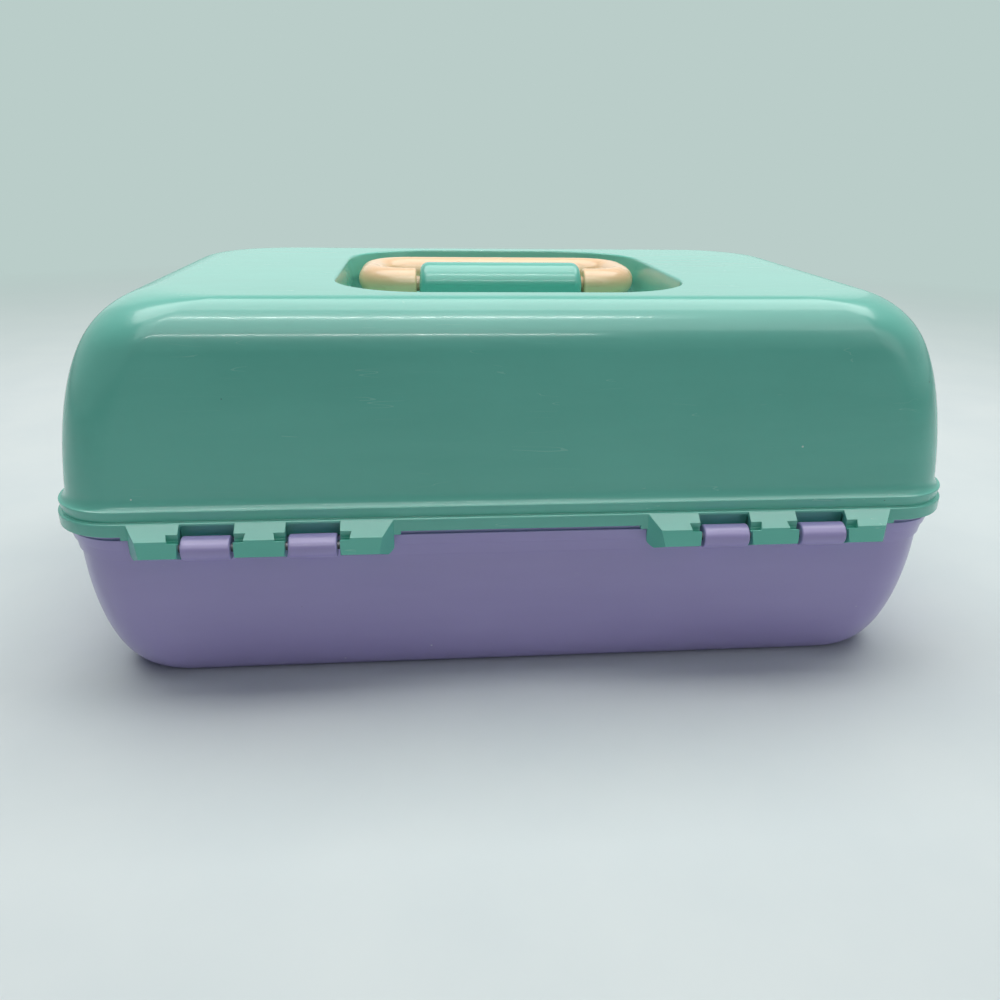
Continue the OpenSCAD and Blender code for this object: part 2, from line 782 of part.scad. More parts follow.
module lower_tray() {
    ya = -tray_front + tray_wall;
    yb = -tray_front + lower_d - tray_wall;
    color(lid_color) difference() {
        tray(lower_z, lower_h, lower_d, lower_pin, concat(
            cell_row(1, ya, ya + lower_row),
            cell_row(2, ya + lower_row + tray_wall, yb)));
        both_sides() translate([divider_x - divider_t / 2 - 0.15, ya - groove, lower_z + tray_wall])
            cube([divider_t + 0.3, lower_row + 2 * groove, lower_h]);
    }
}

module divider() {
    ya = -tray_front + tray_wall - groove + 0.1;
    color(peach_color) translate([divider_x - divider_t / 2, ya, lower_z + tray_wall])
        cube([divider_t, lower_row + 2 * groove - 0.2, lower_h - tray_wall - 2]);
}

module divider_right() {
    divider();
}

module divider_left() {
    mirror([1, 0, 0]) divider();
}

// ---- tray arms, pins and lift links ----

module arm_plate(y) {
    along_x(arm_x, arm_x + arm_t) polygon(bar([y, arm_z], 180 - arm_rest, arm_l, arm_w / 2));
}

module arm_hole(y, z, clearance) {
    rod(arm_x - 1, arm_x + arm_t + 1, y, z, pin_d / 2 + clearance);
}

module arm_front() {
    y = arm_y - arm_pitch;
    color(peach_color) difference() {
        arm_plate(y);
        arm_hole(y, arm_z, fit);
        arm_hole(lower_pin[0] - arm_pitch, lower_pin[1], fit);
        arm_hole(upper_pin[0] - arm_pitch, upper_pin[1], fit);
    }
}

module arm_rear() {
    color(peach_color) difference() {
        arm_plate(arm_y);
        arm_hole(arm_y, arm_z, fit);
        arm_hole(lower_pin[0], lower_pin[1], open_fit);
        arm_hole(upper_pin[0], upper_pin[1], open_fit);
        arm_hole(link_arm_pin[0], link_arm_pin[1], fit);
    }
}

module arm_front_right() {
    arm_front();
}

module arm_front_left() {
    mirror([1, 0, 0]) arm_front();
}

module arm_rear_right() {
    arm_rear();
}

module arm_rear_left() {
    mirror([1, 0, 0]) arm_rear();
}

// Pins that carry the arms on the base, with heads on the trays' side
module base_arm_pins() {
    color(steel_color) both_sides() for (y = [arm_y, arm_y - arm_pitch]) {
        rod(arm_x - side_play - pin_head_t, arm_x - side_play, y, arm_z, pin_head_r);
        rod(arm_x - side_play, arm_x + arm_t + 5.2, y, arm_z, pin_d / 2);
    }
}

// Pins that carry a tray on its arms, with heads on the walls' side
module tray_pins(pin) {
    outer = arm_x + arm_t + side_play;
    color(steel_color) both_sides() for (y = [pin[0], pin[0] - arm_pitch]) {
        rod(tray_a - tray_wall + 0.8, outer, y, pin[1], pin_d / 2);
        rod(outer, outer + pin_head_t, y, pin[1], pin_head_r);
    }
}

module lower_tray_pins() {
    tray_pins(lower_pin);
}

module upper_tray_pins() {
    tray_pins(upper_pin);
}

// A link from a rear arm to the lid, slotted at the lid's end
module lift_link() {
    slot_start = link_l - link_travel;
    color(peach_color) difference() {
        along_x(link_x, link_x + link_t)
            polygon(bar(link_arm_pin, link_angle, link_l, link_w / 2));
        rod(link_x - 1, link_x + link_t + 1, link_arm_pin[0], link_arm_pin[1], pin_d / 2 + fit);
        along_x(link_x - 1, link_x + link_t + 1)
            polygon(bar(link_arm_pin + slot_start * [cos(link_angle), sin(link_angle)],
                        link_angle, link_travel, pin_d / 2 + open_fit));
    }
}

module lift_link_right() {
    lift_link();
}

module lift_link_left() {
    mirror([1, 0, 0]) lift_link();
}

// Headed pins in the lid that run in the links' slots
module link_lid_pins() {
    inner = link_x - side_play;
    color(steel_color) both_sides() {
        rod(inner - pin_head_t, inner, link_lid_pin[0], link_lid_pin[1], pin_head_r);
        rod(inner, link_x + link_t + 3.8, link_lid_pin[0], link_lid_pin[1], pin_d / 2);
    }
}

// Shouldered pins on the rear arms that carry the links
module link_arm_pins() {
    y = link_arm_pin[0];
    z = link_arm_pin[1];
    outer = link_x + link_t + side_play;
    color(steel_color) both_sides() {
        rod(arm_x + 0.3, outer, y, z, pin_d / 2);
        rod(arm_x + arm_t, link_x - side_play, y, z, pin_d / 2 + 0.9);
        rod(outer, outer + pin_head_t, y, z, pin_head_r);
    }
}

base_shell();
lid_shell();
hinge_pin_left();
hinge_pin_right();
handle();
handle_block();
handle_screws();
latch_left();
latch_right();
latch_pin_left();
latch_pin_right();
mirror_frame();
mirror_glass();
mirror_screws();
lower_tray();
upper_tray();
divider_left();
divider_right();
arm_front_left();
arm_front_right();
arm_rear_left();
arm_rear_right();
base_arm_pins();
lower_tray_pins();
upper_tray_pins();
lift_link_left();
lift_link_right();
link_lid_pins();
link_arm_pins();
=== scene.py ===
import json
import math

import bmesh
import bpy
import numpy as np
from mathutils import Matrix, Vector

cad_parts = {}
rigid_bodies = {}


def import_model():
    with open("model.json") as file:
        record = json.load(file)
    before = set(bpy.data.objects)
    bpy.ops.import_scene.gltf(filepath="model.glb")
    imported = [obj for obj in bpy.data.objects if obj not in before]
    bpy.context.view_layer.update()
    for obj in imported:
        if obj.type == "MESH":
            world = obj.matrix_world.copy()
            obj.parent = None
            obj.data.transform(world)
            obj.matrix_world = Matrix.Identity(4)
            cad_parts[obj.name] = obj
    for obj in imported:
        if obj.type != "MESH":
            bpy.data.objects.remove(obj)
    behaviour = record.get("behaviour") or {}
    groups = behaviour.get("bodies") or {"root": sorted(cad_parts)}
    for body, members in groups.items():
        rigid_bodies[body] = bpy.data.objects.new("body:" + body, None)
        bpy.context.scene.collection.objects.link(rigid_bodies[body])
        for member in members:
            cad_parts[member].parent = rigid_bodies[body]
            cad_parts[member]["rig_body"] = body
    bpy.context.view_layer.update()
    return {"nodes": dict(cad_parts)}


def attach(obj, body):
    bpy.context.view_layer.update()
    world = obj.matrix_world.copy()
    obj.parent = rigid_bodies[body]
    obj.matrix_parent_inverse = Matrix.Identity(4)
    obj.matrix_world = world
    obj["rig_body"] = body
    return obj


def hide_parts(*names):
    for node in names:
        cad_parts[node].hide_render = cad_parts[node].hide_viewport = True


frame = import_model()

# Sizes in millimetres, in the frame of the CAD model. Shapes are made in millimetres and scaled
# to metres when they are handed to the frame. _A and _B are half lengths along X and Y, _R a
# corner's radius, _Z a height, _IN how far something stands in from the rim.
MM = 0.001
CORNER = 20                       # steps round a quarter of a rounded outline

# case and rim
CASE_H = 142.5
SEAM_Z, LID_Z, STEP_Z, BAND_Z, COVE_Z = 61.9, 63.9, 68.8, 72.5, 78.5
RIM_A, RIM_B, RIM_R = 165.0, 95.0, 24.0
WALL = 2.6

# lid: its ends are part of a superellipse, its front and back a slope with a round shoulder
SPRING_Z, FULLNESS = 59.7, 2.6
SIDE_IN_X, SIDE_IN_Y = 3.5, 2.7
DRAW_X, DRAW_Y = 40.8, 16.3
SHOULDER_D, SHOULDER_H = 12.5, 17.0
CORNER_FOOT, CORNER_GAIN = 5.4, 8.9
TONGUE_Z = 67.0
SHOULDER_IN, SKIRT_T, TONGUE_IN = 4.6, 2.8, 3.1

# base
BASE_IN, BASE_DRAW = 4.0, 14.0
BASE_R = RIM_R + 0.5
WALL_TOP, BELT_Z, LEDGE_IN = 53.3, 57.8, 2.0

# recess, handle and its block
PIVOT_Y, PIVOT_Z = 9.0, 134.5
RECESS_FLOOR, RECESS_FILLET, RECESS_DRAFT = 127.8, 5.0, 1.6
RECESS_A, RECESS_B, RECESS_R, RECESS_Y = 66.5, 68.5, 36.0, 1.5
BAR_R, BEND_R, BAR_A, REACH = 6.5, 15.5, 40.0, 42.0
STUB_R, STUB_X = 3.2, (22.0, 37.0)
BLOCK_A, BLOCK_R, BLOCK_EDGE, BLOCK_LEAN = 35.0, 9.0, 3.5, 0.6

# hinges: a lid knuckle is its start, width, and flare at the inner and outer end
HINGE_Y, HINGE_Z, KNUCKLE_R, GAP = RIM_B + 3.0, 60.8, 4.2, 1.1
LID_KNUCKLES = [(50.3, 13.2, 5.0, 0.0), (82.1, 17.2, 0.0, 0.0), (117.9, 12.7, 0.0, 5.0)]
BASE_KNUCKLES, BASE_KNUCKLE_W = [64.6, 100.4], 16.4
TAB_X, TAB_Z = (42.8, 138.1), 62.6
HINGE_BORE, BORE_R = (51.9, 129.0), 1.55

# latches
LATCH_X, LATCH_Y, LATCH_Z, LATCH_W = 88.0, -RIM_B - 3.0, 74.7, 40.0
EAR_R, EAR_T, EAR_GAP, EAR_BORE_R = 3.4, 3.2, 0.4, 1.25
CATCH_W = 28.0

# mirror, arms and links
MIRROR_BACK, MIRROR_SCREW = 122.6, (109.5, 66.5)
ARM_Y, ARM_Z = HINGE_Y - 58.0, 31.4
ARM_L, ARM_PITCH, ARM_REST = 72.0, 40.0, math.radians(24)
LOWER_PIN, UPPER_PIN = [(ARM_Y - reach * math.cos(ARM_REST), ARM_Z + reach * math.sin(ARM_REST))
                        for reach in (ARM_L / 2, ARM_L)]
LINK_PIN = (HINGE_Y - 19.5, SEAM_Z + 7.0)

# trays
TRAY_A, TRAY_FRONT, TRAY_WALL, TRAY_R = 146.0, RIM_B - 11.0, 1.8, 10
CELL_R, CELL_FILLET = 7.5, 2.6
LOWER_H, UPPER_H = 24.0, 34.0
UPPER_Z = UPPER_PIN[1] - 5.8
LOWER_Z = UPPER_Z - 1.5 - LOWER_H
LOWER_DEPTH, UPPER_DEPTH = TRAY_FRONT + ARM_Y - 20.0, TRAY_FRONT + ARM_Y - 48.0
LOWER_ROW, UPPER_ROW = 46.0, 28.0
DIVIDER_X, GROOVE_W, GROOVE_D = 72, 1.7, 0.7
BOSS_R = 4.5


# ---- mesh tools ----

def outline(a, b, r, y=0.0, steps=CORNER):
    """Points of a rounded rectangle about (0, y), anticlockwise from +X."""
    out = []
    for q, (sx, sy) in enumerate(((1, 1), (-1, 1), (-1, -1), (1, -1))):
        for i in range(steps + 1):
            t = math.pi / 2 * (q + i / steps)
            out.append((sx * (a - r) + r * math.cos(t), y + sy * (b - r) + r * math.sin(t)))
    return out


def arc(y, z, r, a0, a1, steps=12):
    """Points of a circle between two angles, in degrees."""
    turns = [math.radians(a0 + (a1 - a0) * i / steps) for i in range(steps + 1)]
    return [(y + r * math.cos(t), z + r * math.sin(t)) for t in turns]


def rounded(points, sizes, steps=4):
    """A closed 2-D outline whose corners are rounded by the sizes given, in order."""
    out, n = [], len(points)
    for i, size in enumerate(sizes):
        p = np.array(points[i], float)
        if not size:
            out.append(tuple(p))
            continue
        a, b = np.array(points[i - 1], float) - p, np.array(points[(i + 1) % n], float) - p
        p0 = p + a * min(size / np.linalg.norm(a), 0.5)
        p2 = p + b * min(size / np.linalg.norm(b), 0.5)
        for u in np.linspace(0, 1, steps + 1):
            out.append(tuple((1 - u) ** 2 * p0 + 2 * u * (1 - u) * p + u * u * p2))
    return out


def soften(stations, steps=4):
    """Rounds each station that has a sixth value, its size, in the plane of inset and height."""
    rows = [np.array(s[:5], float) for s in stations]
    out = []
    for i, s in enumerate(stations):
        if len(s) < 6:
            out.append(rows[i])
            continue
        a, b = rows[i - 1] - rows[i], rows[i + 1] - rows[i]
        p0 = rows[i] + a * min(s[5] / math.hypot(a[0], a[1]), 0.5)
        p2 = rows[i] + b * min(s[5] / math.hypot(b[0], b[1]), 0.5)
        for u in np.linspace(0, 1, steps + 1):
            out.append((1 - u) ** 2 * p0 + 2 * u * (1 - u) * rows[i] + u * u * p2)
    return out


def mesh_of(name, points, faces):
    me = bpy.data.meshes.new(name)
    me.from_pydata([tuple(map(float, p)) for p in points], [], faces)
    ob = bpy.data.objects.new(name, me)
    bpy.context.scene.collection.objects.link(ob)
    tidy(ob)
    return ob


def tidy(ob, merge=1e-4):
    """Joins points that coincide and turns all faces outwards."""
    bm = bmesh.new()
    bm.from_mesh(ob.data)
    bmesh.ops.remove_doubles(bm, verts=bm.verts, dist=merge)
    bmesh.ops.recalc_face_normals(bm, faces=bm.faces)
    bm.to_mesh(ob.data)
    bm.free()


def skin(rows, n):
    """Faces of a closed skin over rows of n points, with both ends capped."""
    faces = [(i * n + j, (i + 1) * n + j, (i + 1) * n + (j + 1) % n, i * n + (j + 1) % n)
             for i in range(rows - 1) for j in range(n)]
    faces.append(tuple(range(n)))
    faces.append(tuple(range(rows * n - 1, (rows - 1) * n - 1, -1)))
    return faces


def loft(name, stations, steps=CORNER):
    """A closed skin through rounded rectangles. A station is (z, a, b, r, y), and maybe a size
    by which its edge is rounded."""
    rows = soften(stations)
    points = [(x, y, s[0]) for s in rows for x, y in outline(s[1], s[2], s[3], s[4], steps)]
    return mesh_of(name, points, skin(len(rows), len(points) // len(rows)))


def prism(name, axis, t0, t1, section):
    """A 2-D outline drawn out along an axis: (y, z) along x, (x, z) along y, (x, y) along z."""
    def place(t, p):
        return {"x": (t, p[0], p[1]), "y": (p[0], t, p[1]), "z": (p[0], p[1], t)}[axis]
    n = len(section)
    points = [place(t, p) for t in (t0, t1) for p in section]
    faces = [tuple(range(n)), tuple(range(2 * n - 1, n - 1, -1))]
    faces += [(j, (j + 1) % n, n + (j + 1) % n, n + j) for j in range(n)]
    return mesh_of(name, points, faces)


def rod(name, axis, t0, t1, u, v, r, sides=40):
    """A round bar along an axis."""
    return prism(name, axis, t0, t1, arc(u, v, r, 0, 360 * (1 - 1 / sides), sides - 1))


def join(name, parts):
    """One object from several, which go."""
    bm = bmesh.new()
    for part in parts:
        bm.from_mesh(part.data)
        bpy.data.objects.remove(part)
    me = bpy.data.meshes.new(name)
    bm.to_mesh(me)
    bm.free()
    ob = bpy.data.objects.new(name, me)
    bpy.context.scene.collection.objects.link(ob)
    return ob


def applied(ob):
    """Turns an object's modifiers into its mesh."""
    bpy.context.view_layer.update()
    me = bpy.data.meshes.new_from_object(ob.evaluated_get(bpy.context.evaluated_depsgraph_get()))
    ob.modifiers.clear()
    ob.data = me
    return ob


def cut(ob, tools, operation="DIFFERENCE"):
    """Cuts an object with others, one after another, which go."""
    for tool in tools:
        m = ob.modifiers.new("cut", "BOOLEAN")
        m.operation, m.solver, m.object = operation, "EXACT", tool
    applied(ob)
    for tool in tools:
        bpy.data.objects.remove(tool)
    tidy(ob, 1e-3)
    return ob


def bevel(ob, width, angle=32, segments=3):
    m = ob.modifiers.new("bevel", "BEVEL")
    m.width, m.segments, m.limit_method = width, segments, "ANGLE"
    m.angle_limit = math.radians(angle)
    return applied(ob)


def flipped(ob, name):
    """A copy on the left of what was made on the right."""
    me = ob.data.copy()
    me.transform(Matrix.Scale(-1, 4, (1, 0, 0)))
    me.flip_normals()
    copy = bpy.data.objects.new(name, me)
    bpy.context.scene.collection.objects.link(copy)
    return copy


def piece(ob, body, material, replaces=()):
    """Shades a finished mesh, scales it to metres and hands it to the frame."""
    ob.data.transform(Matrix.Scale(MM, 4))
    ob.data.shade_smooth()
    ob.data.set_sharp_from_angle(angle=math.radians(38))
    m = ob.modifiers.new("normals", "WEIGHTED_NORMAL")
    m.keep_sharp = True
    m.weight = 50
    applied(ob)
    ob.data.materials.clear()
    ob.data.materials.append(material)
    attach(ob, body)
    if replaces:
        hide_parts(*replaces)
    return ob


def body_of(node):
    return frame["nodes"][node]["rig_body"]


def refined(node, material, width=0.3):
    """A copy of a CAD node with its edges rounded, in its place."""
    me = frame["nodes"][node].data.copy()
    me.transform(Matrix.Scale(1 / MM, 4))
    ob = bpy.data.objects.new(node + "_moulded", me)
    bpy.context.scene.collection.objects.link(ob)
    bm = bmesh.new()
    bm.from_mesh(me)
    bmesh.ops.remove_doubles(bm, verts=bm.verts, dist=2e-3)
    bmesh.ops.dissolve_limit(bm, angle_limit=math.radians(0.4), verts=bm.verts, edges=bm.edges)
    bm.to_mesh(me)
    bm.free()
    bevel(ob, width)
    return piece(ob, body_of(node), material, [node])


# ---- materials ----

def linear(r, g, b):
    """A colour from its 0-255 display values."""
    out = []
    for c in (r / 255, g / 255, b / 255):
        out.append(c / 12.92 if c < 0.0404 else ((c + 0.055) / 1.055) ** 2.4)
    return tuple(out) + (1.0,)


class Tree:
    """Short ways to add and link shader nodes."""

    def __init__(self, owner):
        owner.use_nodes = True
        self.nt = owner.node_tree

    def add(self, kind, inputs=(), **values):
        node = self.nt.nodes.new("ShaderNode" + kind)
        for key, value in values.items():
            setattr(node, key, value)
        for key, value in dict(inputs).items():
            self.put(node.inputs[key], value)
        return node

    def put(self, socket, value):
        """Links a socket to another, or sets its value."""
        if isinstance(value, bpy.types.NodeSocket):
            self.nt.links.new(value, socket)
        else:
            socket.default_value = value

    def maths(self, operation, a, b=0.5):
        return self.add("Math", {0: a, 1: b}, operation=operation).outputs[0]

    def span(self, value, lo, hi, to_lo=0.0, to_hi=1.0):
        node = self.add("MapRange", {"Value": value, "From Min": lo, "From Max": hi,
                                     "To Min": to_lo, "To Max": to_hi})
        return node.outputs["Result"]

    def noise(self, where, scale, detail=3.0, rough=0.55):
        node = self.add("TexNoise", {"Vector": where, "Scale": scale, "Detail": detail,
                                     "Roughness": rough})
        return node.outputs["Fac"]

    def stretched(self, where, scale, turn=(0.0, 0.0, 0.0)):
        node = self.add("Mapping", {"Vector": where, "Scale": scale, "Rotation": turn})
        return node.outputs["Vector"]

    def mix(self, factor, a, b):
        node = self.add("Mix", {0: factor, 6: a, 7: b}, data_type="RGBA")
        return node.outputs[2]


def plastic(name, colour, deep, pale, roughness=0.24):
    """Gloss moulded plastic: slight flow marks, dust specks, hair scratches and a soft ripple."""
    mat = bpy.data.materials.new(name)
    t = Tree(mat)
    shader = t.nt.nodes["Principled BSDF"]
    where = t.add("TexCoord").outputs["Object"]
    broad = t.noise(where, 11.0, 2.0)
    flow = t.noise(t.stretched(where, (7.0, 30.0, 45.0)), 1.6, 4.0, 0.6)
    fine = t.noise(where, 520.0, 3.0)
    ripple = t.noise(where, 38.0, 2.0)

    # a few cells of a fine pattern hold a pale or a dark speck
    cells = t.add("TexVoronoi", {"Vector": where, "Scale": 150.0})
    pick = t.add("SeparateColor", {0: cells.outputs["Color"]}).outputs[0]
    near = t.maths("LESS_THAN", cells.outputs["Distance"], 0.055)
    light_speck = t.maths("MULTIPLY", near, t.maths("GREATER_THAN", pick, 0.93))
    dark_speck = t.maths("MULTIPLY", near, t.maths("LESS_THAN", pick, 0.035))

    # scratches: thin contour lines of a stretched noise, in spots, and none on the ends
    hair = []
    for turn, spot in ((0.5, 60.0), (-0.9, 47.0)):
        lines = t.noise(t.stretched(where, (9.0, 230.0, 160.0), (turn, 0.3, turn)), 1.0, 1.5, 0.5)
        thin = t.maths("LESS_THAN", t.maths("ABSOLUTE", t.maths("SUBTRACT", lines, 0.5)), 0.0014)
        within = t.maths("GREATER_THAN", t.noise(where, spot, 1.0), 0.62)
        hair.append(t.maths("MULTIPLY", thin, within))
    facing = t.add("SeparateXYZ", {0: t.add("TexCoord").outputs["Normal"]}).outputs["X"]
    along = t.maths("LESS_THAN", t.maths("ABSOLUTE", facing), 0.6)
    scratch = t.maths("MULTIPLY", t.maths("MAXIMUM", hair[0], hair[1]), along)

    tone = t.mix(t.span(broad, 0.32, 0.68), colour, deep)
    tone = t.mix(t.span(flow, 0.35, 0.75, 0.0, 0.35), tone, pale)
    for mask, strength, mark in ((light_speck, 0.55, (0.85, 0.86, 0.84, 1)),
                                 (dark_speck, 0.45, (0.05, 0.05, 0.05, 1)),
                                 (scratch, 0.035, (0.8, 0.82, 0.8, 1))):
        tone = t.mix(t.maths("MULTIPLY", mask, strength), tone, mark)
    t.put(shader.inputs["Base Color"], tone)
    rough = t.maths("ADD", t.span(flow, 0.3, 0.7, roughness, roughness + 0.03),
                    t.maths("MULTIPLY", scratch, 0.06))
    t.put(shader.inputs["Roughness"], rough)
    height = t.maths("ADD", t.maths("MULTIPLY", fine, 0.10), ripple)
    height = t.maths("SUBTRACT", height, t.maths("MULTIPLY", scratch, 0.05))
    bump = t.add("Bump", {"Height": height, "Strength": 0.35, "Distance": 0.0003})
    t.put(shader.inputs["Normal"], bump.outputs["Normal"])
    shader.inputs["IOR"].default_value = 1.5
    shader.inputs["Coat Weight"].default_value = 0.35
    shader.inputs["Coat Roughness"].default_value = 0.08
    return mat


def steel(name, pale, deep, smooth=0.22):
    """Drawn steel, with grain along its length."""
    mat = bpy.data.materials.new(name)
    t = Tree(mat)
    shader = t.nt.nodes["Principled BSDF"]
    where = t.add("TexCoord").outputs["Object"]
    grain = t.noise(t.stretched(where, (60.0, 1500.0, 1500.0)), 1.0, 3.0)
    spots = t.noise(where, 300.0, 3.0)
    tone = t.mix(t.span(spots, 0.4, 0.7), pale, deep)
    t.put(shader.inputs["Base Color"], tone)
    t.put(shader.inputs["Roughness"], t.span(grain, 0.3, 0.7, smooth, smooth + 0.16))
    bump = t.add("Bump", {"Height": grain, "Strength": 0.2, "Distance": 0.00005})
    t.put(shader.inputs["Normal"], bump.outputs["Normal"])
    shader.inputs["Metallic"].default_value = 1.0
    return mat


def silvered():
    """A mirror's face, with a slight haze."""
    mat = bpy.data.materials.new("silvered_glass")
    t = Tree(mat)
    shader = t.nt.nodes["Principled BSDF"]
    where = t.add("TexCoord").outputs["Object"]
    haze = t.noise(where, 22.0, 4.0, 0.6)
    tone = t.mix(t.span(haze, 0.4, 0.7), (0.86, 0.89, 0.89, 1), (0.82, 0.85, 0.86, 1))
    t.put(shader.inputs["Base Color"], tone)
    t.put(shader.inputs["Roughness"], t.span(haze, 0.45, 0.75, 0.015, 0.06))
    shader.inputs["Metallic"].default_value = 1.0
    return mat


MINT = plastic("mint_plastic", linear(101, 190, 173),
               linear(94, 183, 166), linear(112, 199, 182))
LAVENDER = plastic("lavender_plastic", linear(166, 153, 207),
                   linear(160, 147, 202), linear(172, 159, 212), 0.30)
PEACH = plastic("peach_plastic", linear(248, 205, 160),
                linear(243, 196, 150), linear(250, 212, 170), 0.26)
STEEL = steel("drawn_steel", (0.62, 0.62, 0.63, 1), (0.50, 0.50, 0.51, 1))
DARK_STEEL = steel("oiled_steel", (0.10, 0.10, 0.11, 1), (0.06, 0.06, 0.07, 1), 0.34)
SILVERED = silvered()


# ---- lid ----

def rim(z, inset, *size):
    """A station round the case's rim."""
    return (z, RIM_A - inset, RIM_B - inset, RIM_R - inset, 0.0) + size


def draw_y(z, top):
    """How far the front and back have drawn in at a height: a sloping wall and a round shoulder."""
    h = max(0.0, 1 - (top - z) / SHOULDER_H)
    slope = (DRAW_Y - SHOULDER_D) * (z - COVE_Z) / (top - COVE_Z)
    return slope + SHOULDER_D * (1 - math.sqrt(max(1 - h * h, 0.0)))


def lid_sides(t, z0, steps=34):
    """Stations from a height up to the top, at a depth t inside the lid's outer face."""
    rise = CASE_H - t - SPRING_Z
    u0 = math.asin(((z0 - SPRING_Z) / rise) ** (FULLNESS / 2))
    rows = []
    for i in range(steps + 1):
        u = u0 + (math.pi / 2 - u0) * i / steps
        up = math.sin(u) ** (2 / FULLNESS)
        inset = 1 - max(math.cos(u), 0.0) ** (2 / FULLNESS) if i < steps else 1.0
        z = SPRING_Z + rise * up
        rows.append((z, RIM_A - SIDE_IN_X - t - DRAW_X * inset,
                     RIM_B - SIDE_IN_Y - t - draw_y(z, CASE_H - t),
                     RIM_R - CORNER_FOOT + CORNER_GAIN * up - t, 0.0))
    return rows


def lid_cove(steps=8):
    """Stations of the hollow curve from the band up to the wall."""
    top, foot = lid_sides(0, COVE_Z)[0], rim(BAND_Z + 0.4, 0.85)
    rows = []
    for i in range(steps):
        u = math.pi / 2 * i / steps
        z = foot[0] + (COVE_Z - foot[0]) * (1 - math.cos(u))
        drawn = [foot[k] + (top[k] - foot[k]) * math.sin(u) for k in (1, 2, 3)]
        rows.append((z, *drawn, 0.0))
    return rows


def recess_sides(t, steps=8):
    """Stations of the recess from its floor up, at a depth t outside its inner face."""
    rows = []
    for i in range(steps + 1):
        u = math.pi / 2 * i / steps
        inset = RECESS_DRAFT + RECESS_FILLET * (1 - math.sin(u)) - t
        rows.append((RECESS_FLOOR - t + RECESS_FILLET * (1 - math.cos(u)),
                     RECESS_A - inset, RECESS_B - inset, RECESS_R - inset, RECESS_Y))
    return rows


def recess_rim(z, t, *size):
    return (z, RECESS_A + t, RECESS_B + t, RECESS_R + t, RECESS_Y) + size


def lid_shell():
    """Lid with recess: inside from the recess outwards and down, then outside back up."""
    inside = recess_sides(WALL) + [recess_rim(CASE_H - WALL, WALL, 1.5)]
    inside += lid_sides(WALL, COVE_Z)[::-1]
    skirt = [rim(BAND_Z, SHOULDER_IN), rim(TONGUE_Z, SHOULDER_IN, 0.3), rim(TONGUE_Z, SKIRT_T, 0.3),
             rim(LID_Z, SKIRT_T, 0.3), rim(LID_Z, 0, 0.55), rim(STEP_Z, 0, 0.8),
             rim(STEP_Z, 1.4, 0.25), rim(BAND_Z + 0.2, 0.7, 0.25)]
    outside = lid_cove() + lid_sides(0, COVE_Z) + [recess_rim(CASE_H, 0, 1.0)]
    shell = loft("lid", inside + skirt + outside + recess_sides(0)[::-1])
    tabs, pockets = [], []
    for side in (1, -1):
        x0, x1 = sorted((side * TAB_X[0], side * TAB_X[1]))
        inner, top = RIM_B - SKIRT_T, LID_Z + 1
        section = [(inner, top), (inner, TAB_Z), (RIM_B, TAB_Z), (RIM_B, top)]
        tabs.append(bevel(prism("tab", "x", x0, x1, section), 0.45))
        for x in BASE_KNUCKLES:
            x0, x1 = sorted((side * (x - GAP), side * (x + BASE_KNUCKLE_W + GAP)))
            foot, top = TAB_Z - 1, STEP_Z - 1
            section = rounded([(x0, foot), (x1, foot), (x1, top), (x0, top)], (0, 0, 1.3, 1.3))
            pockets.append(prism("pocket", "y", RIM_B - 1.8, RIM_B + 1, section))
    cut(shell, [join("tabs", tabs)], "UNION")
    return cut(shell, [join("pockets", pockets)])


def lid_knuckle(x, w, flare_in, flare_out):
    """A shelf that falls to a ridge, with a sloping front and a round underside."""
    nose_y, root_y = HINGE_Y + KNUCKLE_R, RIM_B - 1
    section = [(root_y, STEP_Z - 0.3), (RIM_B, STEP_Z - 0.3), (nose_y - 1.8, HINGE_Z + 3.6),
               (nose_y, HINGE_Z - 1.9)]
    section += arc(HINGE_Y, HINGE_Z, KNUCKLE_R, 270, 182, 10)
    x0, x1 = x - flare_in, x + w + flare_out
    body = prism("knuckle", "x", x0, x1, section)
    corners = [(x0, root_y - 1), (x1, root_y - 1), (x1, RIM_B),
               (x + w, nose_y + 0.01), (x, nose_y + 0.01), (x0, RIM_B)]
    sizes = (0, 0, 0, 0.5 if flare_out else 1.2, 0.5 if flare_in else 1.2, 0)
    plan = prism("plan", "z", HINGE_Z - 10, HINGE_Z + 10, rounded(corners, sizes))
    return cut(body, [plan], "INTERSECT")


def knuckle_relief(x, side):
    """What is cut from a knuckle's shelf beside a base knuckle, and a pit behind its front edge."""
    y0, y1, y2 = HINGE_Y + 0.2, HINGE_Y + 2.2, HINGE_Y + KNUCKLE_R + 1.2
    shelf = [(x - side, y0), (x + 3.9 * side, y0), (x + 2.6 * side, y2), (x - side, y2)]
    pit = [(x - side * 1.3, y0 + 0.15), (x + 3.7 * side, y0 + 0.15),
           (x + 3.2 * side, y1), (x - side * 1.3, y1)]
    return [prism("shelf", "z", HINGE_Z + 2.9, HINGE_Z + 9.6, shelf),
            prism("pit", "z", HINGE_Z + 2.0, HINGE_Z + 7, pit)]


def lid_hinge():
    """The lid's three knuckles of one hinge."""
    parts = []
    for start, width, flare_in, flare_out in LID_KNUCKLES:
        knuckle = lid_knuckle(start, width, flare_in, flare_out)
        reliefs = []
        for x in BASE_KNUCKLES:
            for px, side in ((x - GAP, -1), (x + BASE_KNUCKLE_W + GAP, 1)):
                if start - 0.5 < px < start + width + 0.5:
                    reliefs += knuckle_relief(px, side)
        cut(knuckle, reliefs)
        bevel(knuckle, 0.5, 25)
        parts.append(knuckle)
    hinge = join("hinge", parts)
    return cut(hinge, [rod("bore", "x", *HINGE_BORE, HINGE_Y, HINGE_Z, BORE_R)])


